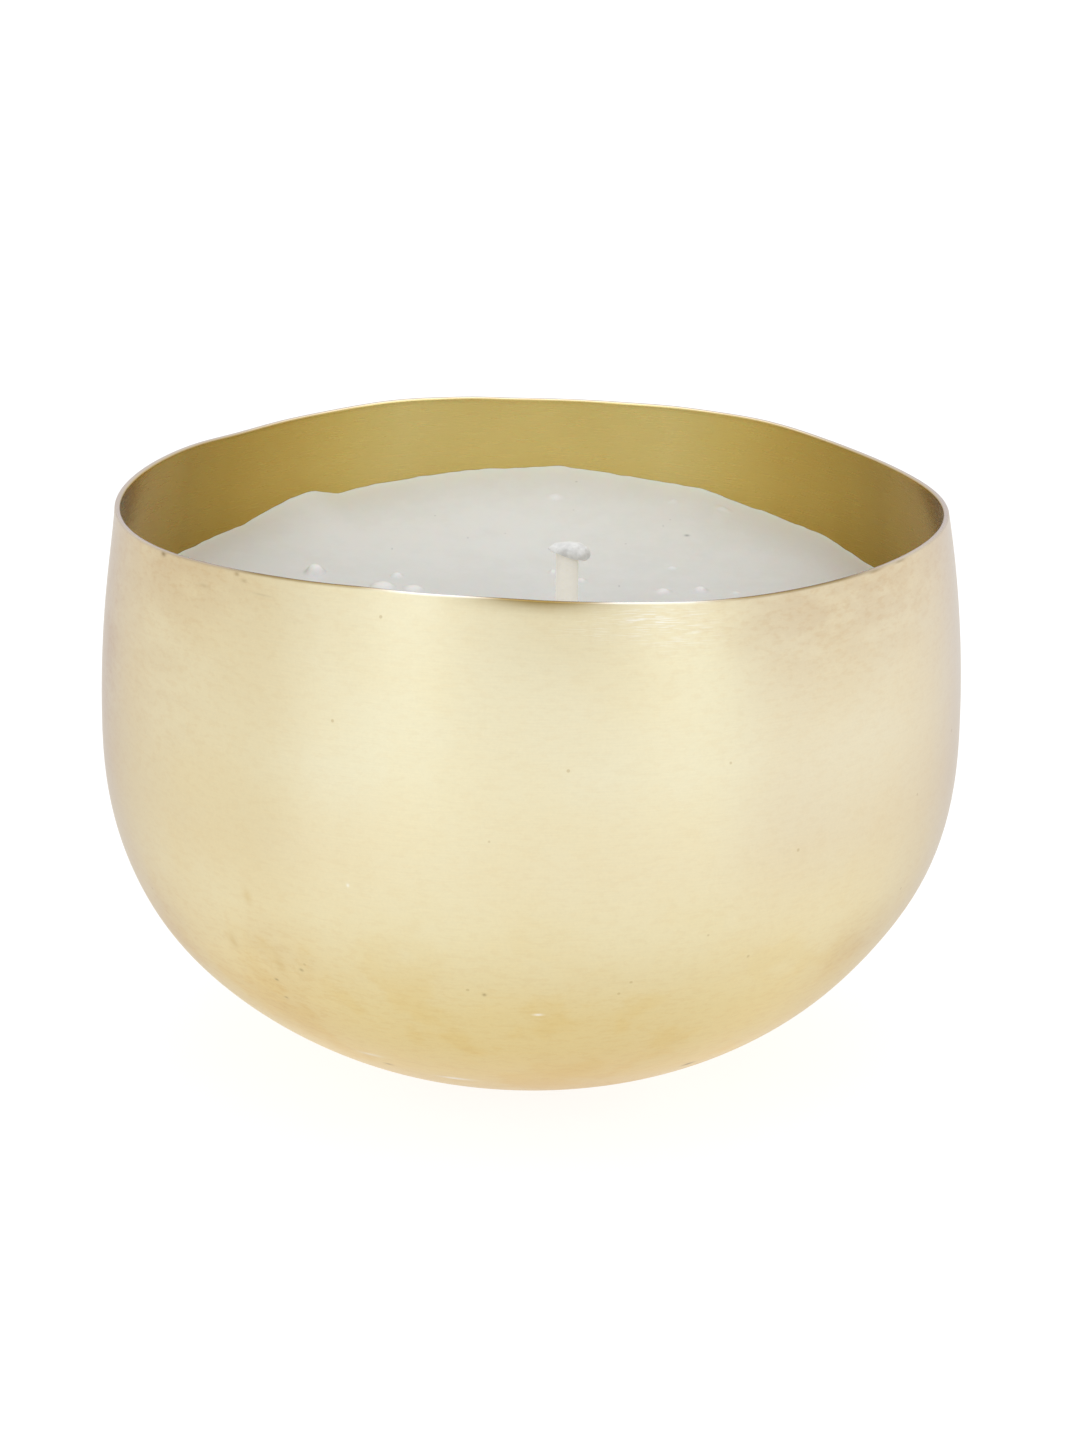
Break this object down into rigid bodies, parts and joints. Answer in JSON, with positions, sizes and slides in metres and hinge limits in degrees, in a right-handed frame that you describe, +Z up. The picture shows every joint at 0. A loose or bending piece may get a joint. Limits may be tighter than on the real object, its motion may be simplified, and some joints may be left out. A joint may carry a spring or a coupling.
{
  "type": "bowl candle",
  "caption": "Round spun brass bowl filled with pale poured wax around a single upright cotton wick, open at the top, used as a free-standing candle.",
  "frame": {"origin": "centre of the bowl's flat base, on the surface that it stands on", "axes": "+Z up through the open mouth, -Y towards the viewer, +X to the viewer's right, the side that the wick stands towards"},
  "size_m": [0.115, 0.115, 0.0768],
  "materials": {
    "brass": "pale gold, fine brushed satin with a slightly bright rim",
    "wax": "off-white poured paraffin wax, satin with small blisters",
    "wick_cotton": "waxed natural cotton braid",
    "core_thread": "twisted cotton core",
    "clear_wax": "glossy translucent wax",
    "tinplate": "bright stamped tinplate",
    "adhesive_foam": "white double-sided foam"
  },
  "bodies": {
    "root": {"bowl": "brass", "wax_fill": "wax", "wick_braid": "wick_cotton", "wick_core": "core_thread", "wick_bead": "clear_wax", "wick_tab": "tinplate", "wick_sticker": "adhesive_foam"}
  },
  "joints": []
}
